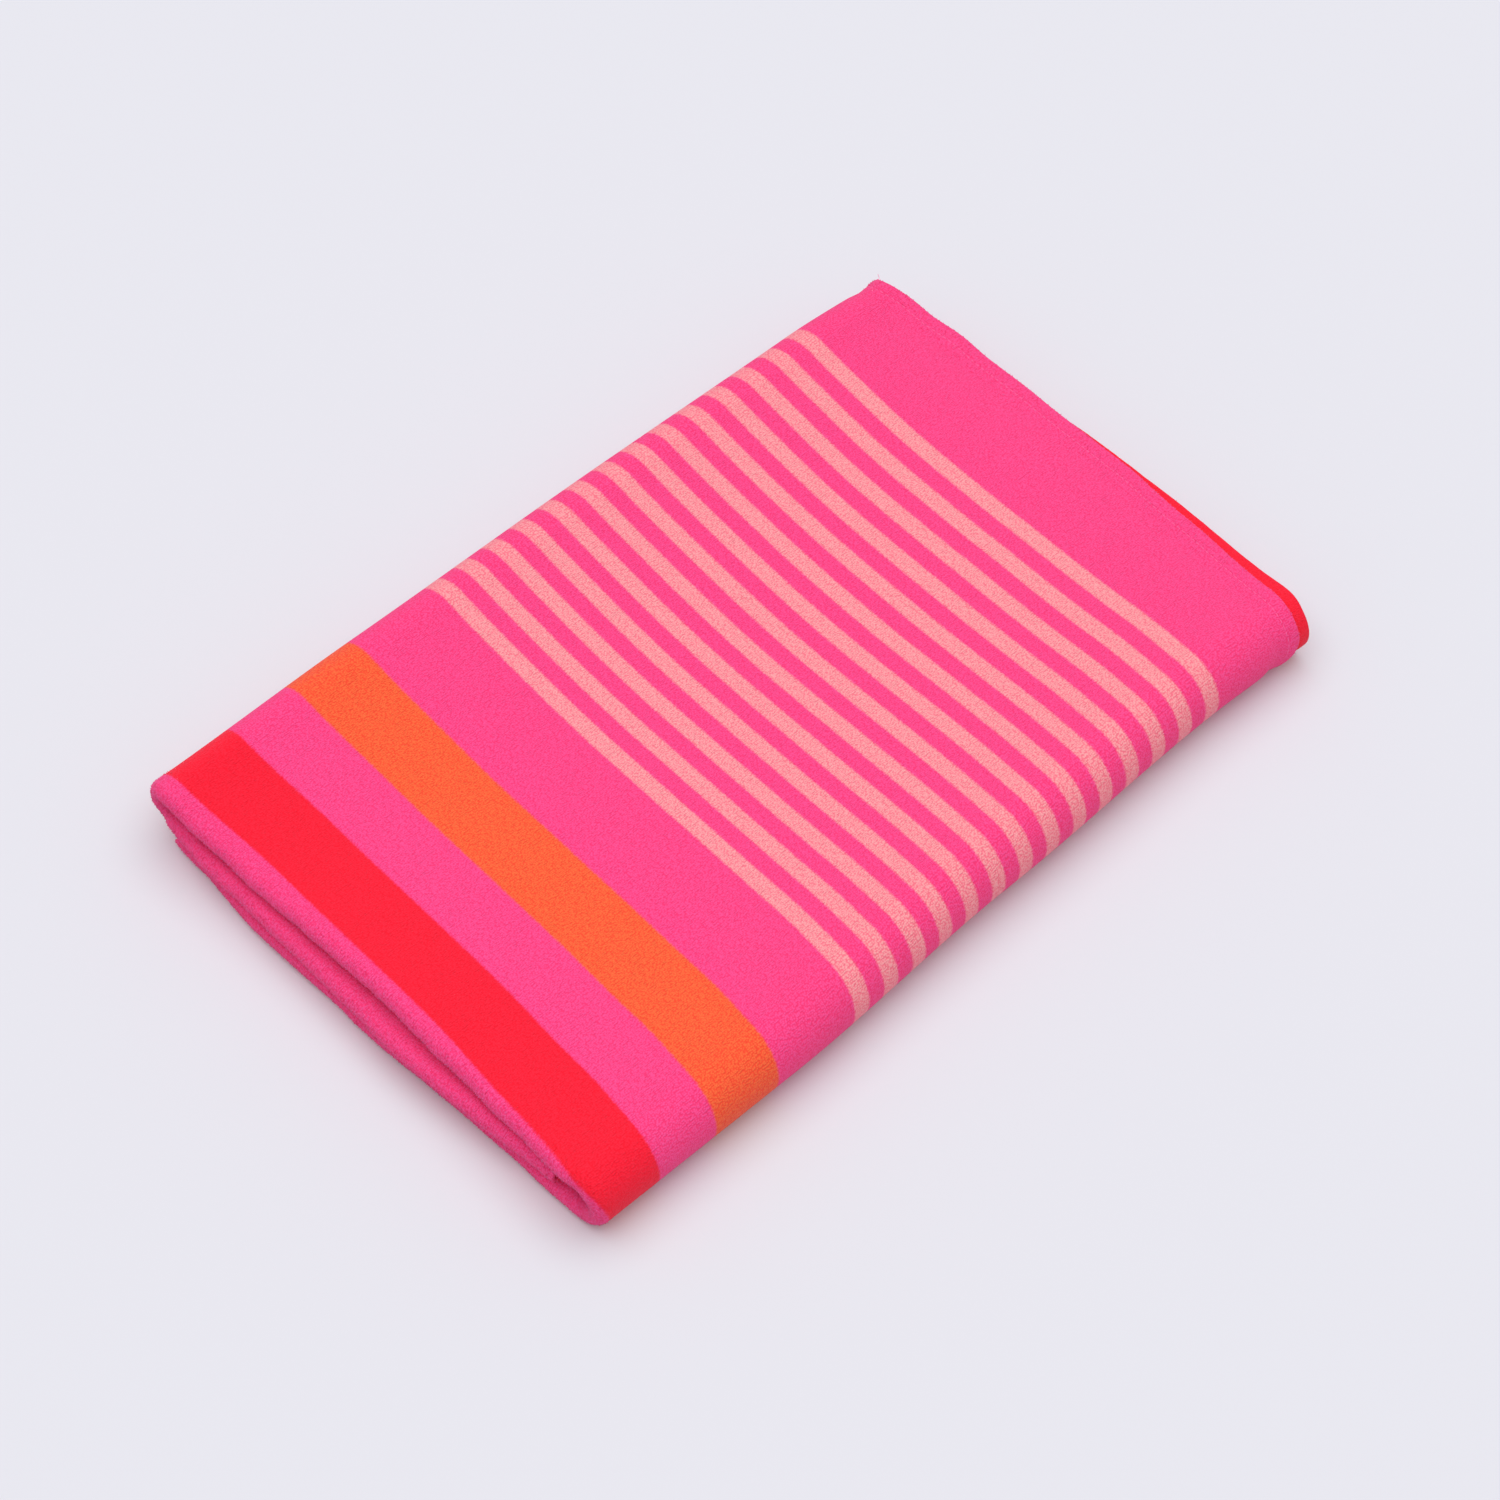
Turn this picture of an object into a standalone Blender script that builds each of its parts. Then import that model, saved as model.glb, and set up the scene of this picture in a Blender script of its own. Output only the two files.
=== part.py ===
"""Beach towel, folded: one striped terry cloth, doubled twice across, then in three lengthwise.

The flat cloth is doubled twice across its length, which gives a packet of four layers with
rounded rims at -X and the two hems at +X. The packet is then folded in three along its
length: the inner flap goes under from the back (+Y), the bottom flap from the front (-Y),
and the middle third is the top. All twelve layers are one sheet.
"""
import math

import bmesh
import bpy

MM = 0.001

# The cloth and how closely its layers lie.
CLOTH_THICKNESS = 2.0 * MM
LAYER_PITCH = 2.6 * MM
LAYERS_IN_PACKET = 4

# The stack, between its outermost faces.
STACK_LENGTH = 443.0 * MM
BACK_EDGE_Y = 151.0 * MM
INNER_FLAP_EDGE_Y = -113.0 * MM
BOTTOM_FLAP_EDGE_Y = 128.0 * MM

# How far the hem of the second layer and the middle fold stop short of the top hem.
SECOND_HEM_INSET = 1.5 * MM
MIDDLE_FOLD_INSET = 4.0 * MM

# Cross-sections along the length: share of the length from the rims, height of the top face
# at the crest over each side fold and in the middle, and how far the front fold stands out.
SECTIONS = [
    {"along": 0.00, "back_crest": 38.5, "middle": 33.0, "front_crest": 33.0, "front_edge": -142.0},
    {"along": 0.25, "back_crest": 43.5, "middle": 32.0, "front_crest": 35.0, "front_edge": -142.5},
    {"along": 0.55, "back_crest": 46.0, "middle": 31.6, "front_crest": 37.5, "front_edge": -137.5},
    {"along": 0.85, "back_crest": 44.0, "middle": 31.4, "front_crest": 36.5, "front_edge": -133.5},
    {"along": 1.00, "back_crest": 36.0, "middle": 31.2, "front_crest": 34.0, "front_edge": -135.0},
]

# The packet's stretches from one long edge of the cloth to the other: faces across each, and
# how far its far end has slid along X, because the folds are not quite square.
STRETCHES = [
    {"name": "inner_flap_edge", "faces": 3, "slide": -8.0},
    {"name": "inner_flap", "faces": 3, "slide": -7.5},
    {"name": "back_fold", "faces": 9, "slide": -4.0},
    {"name": "top_back", "faces": 7, "slide": 0.0},
    {"name": "top_front", "faces": 6, "slide": -3.0},
    {"name": "front_fold", "faces": 9, "slide": -1.0},
    {"name": "bottom_flap", "faces": 3, "slide": -5.0},
    {"name": "bottom_flap_edge", "faces": 3, "slide": -8.0},
]

# Slope of the top where it leaves each side fold.
BACK_CREST_SLOPE = math.radians(14.0)
FRONT_CREST_SLOPE = math.radians(6.0)

# Faces along one layer and round each turn of the cloth.
FACES_ALONG_LAYER = 6
FACES_ROUND_OUTER_RIM = 8
FACES_ROUND_INNER_RIM = 6

PACKET_HALF = CLOTH_THICKNESS / 2 + (LAYERS_IN_PACKET - 1) / 2 * LAYER_PITCH
BOTTOM_Z = PACKET_HALF
INNER_Z = BOTTOM_Z + LAYERS_IN_PACKET * LAYER_PITCH

PINK = (1.0, 0.074, 0.275, 1.0)


def clear_scene():
    """Empty the scene of its objects."""
    for item in list(bpy.data.objects):
        bpy.data.objects.remove(item, do_unlink=True)


def layer_run(start_x, end_x, level):
    """Points of one straight layer, as (x, height in the packet)."""
    steps = FACES_ALONG_LAYER
    return [(start_x + (end_x - start_x) * i / steps, level) for i in range(steps + 1)]


def turn(centre_x, first_level, last_level, side, faces):
    """Points of a half round from one level to another, bulging to side -1 or +1 in x."""
    middle = (first_level + last_level) / 2
    radius = (first_level - last_level) / 2
    points = []
    for i in range(1, faces):
        angle = math.pi * i / faces
        x = centre_x + side * abs(radius) * math.sin(angle)
        points.append((x, middle + radius * math.cos(angle)))
    return points


def crosswise_profile():
    """The cloth from hem to hem, as (x, height in the packet) before the folds in three."""
    level = [(1.5 - i) * LAYER_PITCH for i in range(LAYERS_IN_PACKET)]
    rim_x = -STACK_LENGTH / 2 + PACKET_HALF
    hem_x = STACK_LENGTH / 2
    second_hem_x = hem_x - SECOND_HEM_INSET
    fold_x = hem_x - MIDDLE_FOLD_INSET
    inner = FACES_ROUND_INNER_RIM
    profile = layer_run(second_hem_x, rim_x, level[1])
    profile += turn(rim_x, level[1], level[2], -1, inner)
    profile += layer_run(rim_x, fold_x, level[2])
    profile += turn(fold_x, level[2], level[3], 1, inner)
    profile += layer_run(fold_x, rim_x, level[3])
    profile += turn(rim_x, level[3], level[0], -1, FACES_ROUND_OUTER_RIM)
    profile += layer_run(rim_x, hem_x, level[0])
    return profile


def section_at(along):
    """The named heights of the cross-section at a share of the length, in metres."""
    along = min(max(along, 0.0), 1.0)
    for before, after in zip(SECTIONS, SECTIONS[1:]):
        if along <= after["along"]:
            break
    share = (along - before["along"]) / (after["along"] - before["along"])
    share = share * share * (3 - 2 * share)
    names = ("back_crest", "middle", "front_crest", "front_edge")
    return {name: (before[name] + (after[name] - before[name]) * share) * MM for name in names}


def arc_point(centre_y, centre_z, radius, angle):
    """A point of a fold and its outward normal; the angle is from +Y towards +Z."""
    normal = (math.cos(angle), math.sin(angle))
    return (centre_y + radius * normal[0], centre_z + radius * normal[1]), normal


def sagging_point(start, start_slope, end, end_slope, share):
    """A point of the top between two places, on a cubic with the given slopes, and its normal."""
    run = end[0] - start[0]
    square, cube = share * share, share ** 3
    height = (2 * cube - 3 * square + 1) * start[1] + (3 * square - 2 * cube) * end[1]
    height += (cube - 2 * square + share) * run * start_slope + (cube - square) * run * end_slope
    slope = (6 * square - 6 * share) * (start[1] - end[1]) / run
    slope += (3 * square - 4 * share + 1) * start_slope + (3 * square - 2 * share) * end_slope
    size = math.hypot(1.0, slope)
    return (start[0] + run * share, height), (-slope / size, 1 / size)


def packet_point(stretch, share, along):
    """Middle of the packet as (y, z) and its outward normal, on a named stretch."""
    section = section_at(along)
    back_radius = (section["back_crest"] - PACKET_HALF - INNER_Z) / 2
    back_y = BACK_EDGE_Y - PACKET_HALF - back_radius
    front_radius = (section["front_crest"] - PACKET_HALF - BOTTOM_Z) / 2
    front_y = section["front_edge"] + PACKET_HALF + front_radius
    middle = (0.0, section["middle"] - PACKET_HALF)
    down = (0.0, -1.0)
    if stretch == "inner_flap_edge":
        return (INNER_FLAP_EDGE_Y * (1 - share), INNER_Z), down
    if stretch == "inner_flap":
        return (back_y * share, INNER_Z), down
    if stretch == "back_fold":
        angle = -math.pi / 2 + (math.pi + BACK_CREST_SLOPE) * share
        return arc_point(back_y, INNER_Z + back_radius, back_radius, angle)
    if stretch == "top_back":
        angle = math.pi / 2 + BACK_CREST_SLOPE
        start, _ = arc_point(back_y, INNER_Z + back_radius, back_radius, angle)
        return sagging_point(start, math.tan(BACK_CREST_SLOPE), middle, 0.0, share)
    front_start = math.pi / 2 - FRONT_CREST_SLOPE
    if stretch == "top_front":
        end, _ = arc_point(front_y, BOTTOM_Z + front_radius, front_radius, front_start)
        return sagging_point(middle, 0.0, end, -math.tan(FRONT_CREST_SLOPE), share)
    if stretch == "front_fold":
        angle = front_start + (math.pi + FRONT_CREST_SLOPE) * share
        return arc_point(front_y, BOTTOM_Z + front_radius, front_radius, angle)
    if stretch == "bottom_flap":
        return (front_y * (1 - share), BOTTOM_Z), down
    return (BOTTOM_FLAP_EDGE_Y * share, BOTTOM_Z), down


def lengthwise_stations():
    """Where the cloth is sampled from edge to edge: stretch, share of it, and slide along X."""
    stations = [(STRETCHES[0]["name"], 0.0, 0.0)]
    slide = 0.0
    for stretch in STRETCHES:
        for i in range(1, stretch["faces"] + 1):
            share = i / stretch["faces"]
            here = slide + (stretch["slide"] - slide) * share
            stations.append((stretch["name"], share, here * MM))
        slide = stretch["slide"]
    return stations


def fold_point(profile_point, station):
    """A point of the folded cloth from its places in the crosswise and lengthwise folds."""
    x, height = profile_point
    stretch, share, slide = station
    along = (x + STACK_LENGTH / 2) / STACK_LENGTH
    (y, z), normal = packet_point(stretch, share, along)
    return (x + slide, y + normal[0] * height, z + normal[1] * height)


def centre_on_footprint(points):
    """Move the points so that their footprint is centred on the origin."""
    shift = []
    for axis in (0, 1):
        values = [point[axis] for point in points]
        shift.append((min(values) + max(values)) / 2)
    return [(x - shift[0], y - shift[1], z) for x, y, z in points]


def terry_material():
    """Hot pink cotton pile."""
    material = bpy.data.materials.new("pink_terry")
    material.use_nodes = True
    shader = material.node_tree.nodes["Principled BSDF"]
    shader.inputs["Base Color"].default_value = PINK
    shader.inputs["Roughness"].default_value = 0.95
    shader.inputs["Metallic"].default_value = 0.0
    return material


def make_towel(collection):
    """The folded cloth: a flat grid laid into its folds, then given its thickness."""
    profile = crosswise_profile()
    stations = lengthwise_stations()
    columns = len(profile) - 1
    rows = len(stations) - 1
    grid = bmesh.new()
    bmesh.ops.create_grid(grid, x_segments=columns, y_segments=rows, size=0.5)
    places = []
    for vertex in grid.verts:
        column = round((vertex.co.x + 0.5) * columns)
        row = round((vertex.co.y + 0.5) * rows)
        places.append(fold_point(profile[column], stations[row]))
    for vertex, place in zip(grid.verts, centre_on_footprint(places)):
        vertex.co = place
    mesh = bpy.data.meshes.new("towel")
    grid.to_mesh(mesh)
    grid.free()
    mesh.shade_smooth()
    towel = bpy.data.objects.new("towel", mesh)
    collection.objects.link(towel)
    mesh.materials.append(terry_material())
    cloth = towel.modifiers.new("cloth thickness", "SOLIDIFY")
    cloth.thickness = CLOTH_THICKNESS
    cloth.offset = 0.0
    cloth.use_even_offset = True
    cloth.use_quality_normals = True
    return towel


def main():
    clear_scene()
    collection = bpy.data.collections.new("beach_towel")
    bpy.context.scene.collection.children.link(collection)
    make_towel(collection)


main()
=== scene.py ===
"""Folded beach towel in printed terry: the finished looks of the one folded sheet.

The flat cloth is doubled twice across its length, which gives a packet of four layers with
rounded rims at -X and the two hems at +X. The packet is then folded in three: the inner flap
goes under from the back (+Y), the bottom flap from the front (-Y), and the middle third is
the top. Sizes are in metres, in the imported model's frame.
"""

import math

import bpy
import numpy as np
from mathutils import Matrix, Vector, noise


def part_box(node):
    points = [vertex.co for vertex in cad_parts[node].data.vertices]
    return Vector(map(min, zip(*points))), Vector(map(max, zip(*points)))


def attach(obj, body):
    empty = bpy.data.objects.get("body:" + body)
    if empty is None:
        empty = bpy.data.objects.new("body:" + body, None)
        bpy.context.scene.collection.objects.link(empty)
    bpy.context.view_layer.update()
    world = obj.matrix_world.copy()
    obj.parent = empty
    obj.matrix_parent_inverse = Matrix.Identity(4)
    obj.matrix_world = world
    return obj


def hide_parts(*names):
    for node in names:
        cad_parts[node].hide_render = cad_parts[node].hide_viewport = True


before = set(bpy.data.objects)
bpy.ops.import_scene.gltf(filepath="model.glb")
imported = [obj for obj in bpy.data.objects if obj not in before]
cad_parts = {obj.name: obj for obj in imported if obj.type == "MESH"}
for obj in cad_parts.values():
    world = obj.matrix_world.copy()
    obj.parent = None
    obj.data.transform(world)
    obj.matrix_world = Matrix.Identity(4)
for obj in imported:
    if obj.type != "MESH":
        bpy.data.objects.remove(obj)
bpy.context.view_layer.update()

bl_info = {
    "name": "Folded beach towel",
    "version": (1, 0, 0),
    "blender": (4, 5, 0),
    "location": "View3D > Sidebar > Towel",
    "description": "Builds a folded beach towel of striped terry, and its studio",
    "category": "Add Mesh",
}

MM = 0.001
NODE = "towel"
BODY = "root"
HIGH = Vector(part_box(NODE)[1])

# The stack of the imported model, whose hem end and back fold lie on its box.
STACK_LENGTH = 443.0 * MM
LAYER_PITCH = 2.6 * MM
LAYERS = 4
CAD_THICKNESS = 2.0 * MM
MIDDLE_FOLD_INSET = 4.0 * MM
HEM_X = HIGH.x
RIM_X = HIGH.x - STACK_LENGTH
BACK_EDGE_Y = HIGH.y
PACKET_HALF = CAD_THICKNESS / 2 + (LAYERS - 1) / 2 * LAYER_PITCH
FLAT_RUN = STACK_LENGTH - PACKET_HALF
BOTTOM_Z = PACKET_HALF
INNER_Z = BOTTOM_Z + LAYERS * LAYER_PITCH

# Cross-sections along the length, in mm: share of the length from the rims, height of the top
# over each side fold and in the middle, and the front fold's place in Y from the back edge.
SECTIONS = [
    {"along": 0.00, "back_crest": 38.5, "middle": 33.0, "front_crest": 33.0, "front_edge": -293.0},
    {"along": 0.25, "back_crest": 43.5, "middle": 32.0, "front_crest": 35.0, "front_edge": -293.5},
    {"along": 0.55, "back_crest": 46.0, "middle": 31.6, "front_crest": 37.5, "front_edge": -288.5},
    {"along": 0.85, "back_crest": 44.0, "middle": 31.4, "front_crest": 36.5, "front_edge": -284.5},
    {"along": 1.00, "back_crest": 37.6, "middle": 31.2, "front_crest": 34.0, "front_edge": -286.0},
]

# The packet's stretches from one long edge of the cloth to the other: faces across each.
STRETCHES = [
    {"name": "inner_flap_edge", "faces": 14},
    {"name": "inner_flap", "faces": 16},
    {"name": "back_fold", "faces": 26},
    {"name": "top_back", "faces": 30},
    {"name": "top_front", "faces": 30},
    {"name": "front_fold", "faces": 26},
    {"name": "bottom_flap", "faces": 16},
    {"name": "bottom_flap_edge", "faces": 16},
]

# Where the packet's ends lie, in mm beyond their nominal lines in X, by place across the cloth
# from the middle of the top (towards the front fold is positive).
END_LINES = [
    {"across": -440.0, "rims": 0.0, "hem": 0.0, "second": 0.0},
    {"across": -325.0, "rims": -8.6, "hem": -8.0, "second": -8.0},
    {"across": -205.0, "rims": -8.8, "hem": -6.0, "second": -6.0},
    {"across": -182.0, "rims": -7.0, "hem": -5.4, "second": -6.0},
    {"across": -165.0, "rims": -4.8, "hem": -4.2, "second": -5.5},
    {"across": -153.0, "rims": -5.9, "hem": -3.8, "second": -6.4},
    {"across": -139.0, "rims": -6.9, "hem": -7.2, "second": -8.4},
    {"across": -118.0, "rims": -6.0, "hem": -3.9, "second": -5.8},
    {"across": -88.0, "rims": -4.0, "hem": -0.2, "second": -2.4},
    {"across": -45.0, "rims": -2.0, "hem": -0.5, "second": 0.4},
    {"across": 0.0, "rims": 0.0, "hem": -0.5, "second": 2.2},
    {"across": 60.0, "rims": 0.0, "hem": -3.5, "second": 2.2},
    {"across": 112.0, "rims": -0.6, "hem": -7.7, "second": -0.3},
    {"across": 135.0, "rims": 0.4, "hem": -10.8, "second": -2.7},
    {"across": 152.0, "rims": 0.8, "hem": -16.6, "second": -2.6},
    {"across": 168.0, "rims": 0.2, "hem": -19.0, "second": -0.6},
    {"across": 185.0, "rims": -0.6, "hem": -18.0, "second": 0.0},
    {"across": 300.0, "rims": -7.6, "hem": -8.0, "second": -5.0},
    {"across": 350.0, "rims": -9.0, "hem": -8.0, "second": -6.0},
    {"across": 404.0, "rims": -6.4, "hem": -8.0, "second": -6.0},
    {"across": 432.0, "rims": -3.6, "hem": -8.0, "second": -6.0},
]
INNER_FLAP_EDGE_Y = -264.0 * MM
BOTTOM_FLAP_EDGE_Y = -16.0 * MM
FOLD_MIDDLE_Y = -151.0 * MM

BACK_CREST_SLOPE = math.radians(14.0)
FRONT_CREST_SLOPE = math.radians(6.0)

# Rows of the mesh beside a hem and beside the rims, in mm from them, and shares between the two.
NEAR_HEM = (2.2, 3.6, 5.0, 6.0, 6.8, 7.6, 9.0, 11.0, 13.5, 16.5, 20.0)
NEAR_RIM = (0.0, 2.0, 4.5, 7.5, 11.0)
COARSE = [0.06, 0.13, 0.22, 0.32, 0.42, 0.52, 0.62, 0.72, 0.81, 0.88, 0.93]
BEFORE_MIDDLE_FOLD = 0.975
FINE_FACES = 84

# Share of the thickness that is left at the very edge of the cloth.
THIN_EDGE = 0.06

# The turned hem, its stitched groove and the trough beside it: height, place and width.
HEM_ROLL = (0.45 * MM, 3.0 * MM, 3.2 * MM)
GROOVE_DEPTH = 0.3 * MM
GROOVE_WIDTH = 0.9 * MM
TROUGH = (1.1 * MM, 13.0 * MM, 4.5 * MM)

# Where the second layer's hem hangs out: how far, and where that starts and ends across the cloth.
LOOSE_HEM = 2.0 * MM
LOOSE_FROM = (0.128, 0.150)
LOOSE_TO = (0.172, 0.200)

# Distance of the rims' turn from the hem, and how far the folding pulls the print towards the
# rims, in mm: along the front fold, past the stripes, at either end of the rims, and mid-length.
RIMS_FROM_HEM = 0.436
FRONT_PULL = 4.2
PAST_STRIPES_PULL = 3.3
FRONT_RIM_PULL = 3.0
BACK_RIM_PULL = 4.6
UNDER_FOLD_PULL = 8.5
MIDDLE_PULL = 2.8

# The loose thread stands at the back corner: its bends in mm, and its place across the cloth.
THREAD_BENDS = ((-1.0, 0.0, 0.0), (0.8, 0.5, 0.7), (1.6, 1.5, 0.9), (1.7, 2.3, 1.7))
BACK_CORNER_ACROSS = -0.146

# Sheen, and the tints of the print in the pile's shadows and on its tips (the tufts' tip tint is much paler,
# a painted highlight of the fuzz on the rims and hems); then the softness of the print's edges and the height
# of the pile's relief.
CLOTH_LOOK = (0.12, (0.955, 0.60, 0.71, 1.0), (1.0, 1.22, 1.14, 1.0))
TUFT_PAINTED_HIGHLIGHT_LOOK = (0.3, (0.88, 0.5, 0.64, 1.0), (1.0, 2.1, 1.6, 1.0))
PRINT_SOFTNESS = 0.8 * MM
PILE_RELIEF = 0.8 * MM

# Scales of the pile's rows, patches and loops along and across the cloth, in waves a metre.
ROW_SCALE = (430.0, 1600.0, 0.0)
PATCH_SCALE = (90.0, 140.0, 0.0)
LOOP_SCALE = (950.0, 1250.0, 0.0)

# Smallest and largest turns of a tuft about its own axes, and shares of its full height.
TUFT_TURNS = ((-1.0, -1.0, -3.14), (1.0, 1.0, 3.14))
TUFT_HEIGHTS = (0.55, 1.15)

# Where the camera looks, its film width in mm, and the studio's light.
CAMERA_TARGET = (-0.8 * MM, -3.0 * MM, 0.0)
SENSOR_WIDTH = 36.0
WORLD_STRENGTH = 0.45
SUN_TOWARDS = (0.06, 0.07, 2.2)
SUN_STRENGTH = 2.1
SUN_SPREAD = math.radians(80.0)


def length_property(name, description, default):
    """A length in metres, shown in the scene's units."""
    return bpy.props.FloatProperty(
        name=name, description=description, default=default, subtype="DISTANCE", unit="LENGTH", precision=5
    )


def colour_property(name, description, default):
    """A colour, in linear light."""
    return bpy.props.FloatVectorProperty(
        name=name, description=description, default=default, size=4, min=0.0, max=1.0, subtype="COLOR"
    )


class TowelCloth(bpy.types.PropertyGroup):
    """Sizes of the folded cloth."""

    flat_width: length_property("Flat width", "Width of the towel laid flat", 0.84)
    flat_length: length_property("Flat length", "Length of the towel laid flat, hem to hem", 1.76)
    thickness: length_property("Thickness", "Thickness of the cloth with its pile", 2.35 * MM)
    hem_depth: length_property("Hem depth", "How far in from the edge the hem is stitched", 6.8 * MM)
    stitch_pitch: length_property("Stitch pitch", "Distance from one hem stitch to the next", 3.2 * MM)
    stitch_thread: length_property("Stitch thread", "Thickness of the sewing thread", 0.36 * MM)


class TowelPile(bpy.types.PropertyGroup):
    """Sizes of the standing pile."""

    length: length_property("Pile length", "Height of one tuft", 0.6 * MM)
    width: length_property("Tuft width", "Width of one tuft at its foot", 0.55 * MM)
    density: bpy.props.FloatProperty(
        name="Density", description="Tufts a square metre where the pile stands up", default=900000.0, min=0.0
    )
    lean: bpy.props.FloatProperty(
        name="Lean", description="How far tufts lean at random", default=math.radians(28.0), subtype="ANGLE"
    )
    seed: bpy.props.IntProperty(name="Seed", description="Seed of the tufts' places", default=7)


class TowelPrint(bpy.types.PropertyGroup):
    """Colours of the printed stripes and their places, measured from the hem."""

    pink: colour_property("Ground", "Hot pink ground of the towel", (0.985, 0.068, 0.262, 1.0))
    red: colour_property("Red band", "Colour of the red bands", (0.985, 0.016, 0.044, 1.0))
    orange: colour_property("Orange band", "Colour of the orange band", (0.985, 0.128, 0.044, 1.0))
    salmon: colour_property("Salmon stripes", "Colour of the narrow stripes", (0.985, 0.315, 0.360, 1.0))
    plain_end: length_property("Plain end", "Plain cloth between the hem and the first stripe", 60.6 * MM)
    stripe: length_property("Stripe width", "Width of a narrow stripe", 8.2 * MM)
    stripe_pitch: length_property("Stripe pitch", "From one narrow stripe to the next", 17.13 * MM)
    stripes: bpy.props.IntProperty(name="Stripes", description="Number of narrow stripes", default=14, min=1)
    after_stripes: length_property("After stripes", "Ground from the stripes to the orange band", 44.5 * MM)
    orange_width: length_property("Orange width", "Width of the orange band", 34.9 * MM)
    between_bands: length_property("Between bands", "Ground between the orange and red bands", 31.8 * MM)
    red_width: length_property("Red width", "Width of the red band", 33.1 * MM)


class TowelStage(bpy.types.PropertyGroup):
    """Camera, floor and light."""

    azimuth: bpy.props.FloatProperty(
        name="Camera azimuth", description="Direction of the camera round the towel",
        default=math.radians(-42.84), subtype="ANGLE", unit="ROTATION",
    )
    elevation: bpy.props.FloatProperty(
        name="Camera elevation", description="Angle of the camera above the floor",
        default=math.radians(53.87), subtype="ANGLE", unit="ROTATION",
    )
    distance: length_property("Camera distance", "From the camera to the point it looks at", 1.7605)
    lens: bpy.props.FloatProperty(name="Lens", description="Focal length in mm", default=93.6, min=1.0)
    floor: colour_property("Floor", "Colour of the floor", (0.729, 0.726, 0.784, 1.0))
    floor_size: length_property("Floor size", "Side of the floor", 8.0)


# ---------------------------------------------------------------- folds


def between_rows(rows, key, value):
    """The lengths of a table at a place between its rows, in metres, with a smooth change."""
    value = min(max(value, rows[0][key]), rows[-1][key])
    for before, after in zip(rows, rows[1:]):
        if value <= after[key]:
            break
    share = (value - before[key]) / (after[key] - before[key])
    share = share * share * (3 - 2 * share)
    names = [name for name in before if name != key]
    return {name: (before[name] + (after[name] - before[name]) * share) * MM for name in names}


def arc_point(centre_y, centre_z, radius, angle):
    """A point of a fold and its outward normal; the angle is from +Y towards +Z."""
    normal = (math.cos(angle), math.sin(angle))
    return (centre_y + radius * normal[0], centre_z + radius * normal[1]), normal


def sagging_point(start, start_slope, end, end_slope, share):
    """A point of the top between two places, on a cubic with the given slopes, and its normal."""
    run = end[0] - start[0]
    square, cube = share * share, share ** 3
    height = (2 * cube - 3 * square + 1) * start[1] + (3 * square - 2 * cube) * end[1]
    height += (cube - 2 * square + share) * run * start_slope + (cube - square) * run * end_slope
    slope = (6 * square - 6 * share) * (start[1] - end[1]) / run
    slope += (3 * square - 4 * share + 1) * start_slope + (3 * square - 2 * share) * end_slope
    size = math.hypot(1.0, slope)
    return (start[0] + run * share, height), (-slope / size, 1 / size)


def packet_point(stretch, share, along):
    """Middle of the packet as (y, z) from the back edge, and its outward normal."""
    section = between_rows(SECTIONS, "along", along)
    back_radius = (section["back_crest"] - PACKET_HALF - INNER_Z) / 2
    back_y = -PACKET_HALF - back_radius
    front_radius = (section["front_crest"] - PACKET_HALF - BOTTOM_Z) / 2
    front_y = section["front_edge"] + PACKET_HALF + front_radius
    middle = (FOLD_MIDDLE_Y, section["middle"] - PACKET_HALF)
    down = (0.0, -1.0)
    if stretch == "inner_flap_edge":
        return (INNER_FLAP_EDGE_Y + (FOLD_MIDDLE_Y - INNER_FLAP_EDGE_Y) * share, INNER_Z), down
    if stretch == "inner_flap":
        return (FOLD_MIDDLE_Y + (back_y - FOLD_MIDDLE_Y) * share, INNER_Z), down
    if stretch == "back_fold":
        angle = -math.pi / 2 + (math.pi + BACK_CREST_SLOPE) * share
        return arc_point(back_y, INNER_Z + back_radius, back_radius, angle)
    if stretch == "top_back":
        angle = math.pi / 2 + BACK_CREST_SLOPE
        start, _ = arc_point(back_y, INNER_Z + back_radius, back_radius, angle)
        return sagging_point(start, math.tan(BACK_CREST_SLOPE), middle, 0.0, share)
    front_start = math.pi / 2 - FRONT_CREST_SLOPE
    if stretch == "top_front":
        end, _ = arc_point(front_y, BOTTOM_Z + front_radius, front_radius, front_start)
        return sagging_point(middle, 0.0, end, -math.tan(FRONT_CREST_SLOPE), share)
    if stretch == "front_fold":
        angle = front_start + (math.pi + FRONT_CREST_SLOPE) * share
        return arc_point(front_y, BOTTOM_Z + front_radius, front_radius, angle)
    if stretch == "bottom_flap":
        return (front_y + (FOLD_MIDDLE_Y - front_y) * share, BOTTOM_Z), down
    return (FOLD_MIDDLE_Y + (BOTTOM_FLAP_EDGE_Y - FOLD_MIDDLE_Y) * share, BOTTOM_Z), down


def edge_steps_of(cloth):
    """Distances in from an edge at which its round section is sampled."""
    half = cloth.thickness / 2
    return [0.0, 0.12 * half, 0.45 * half, half]


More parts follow.
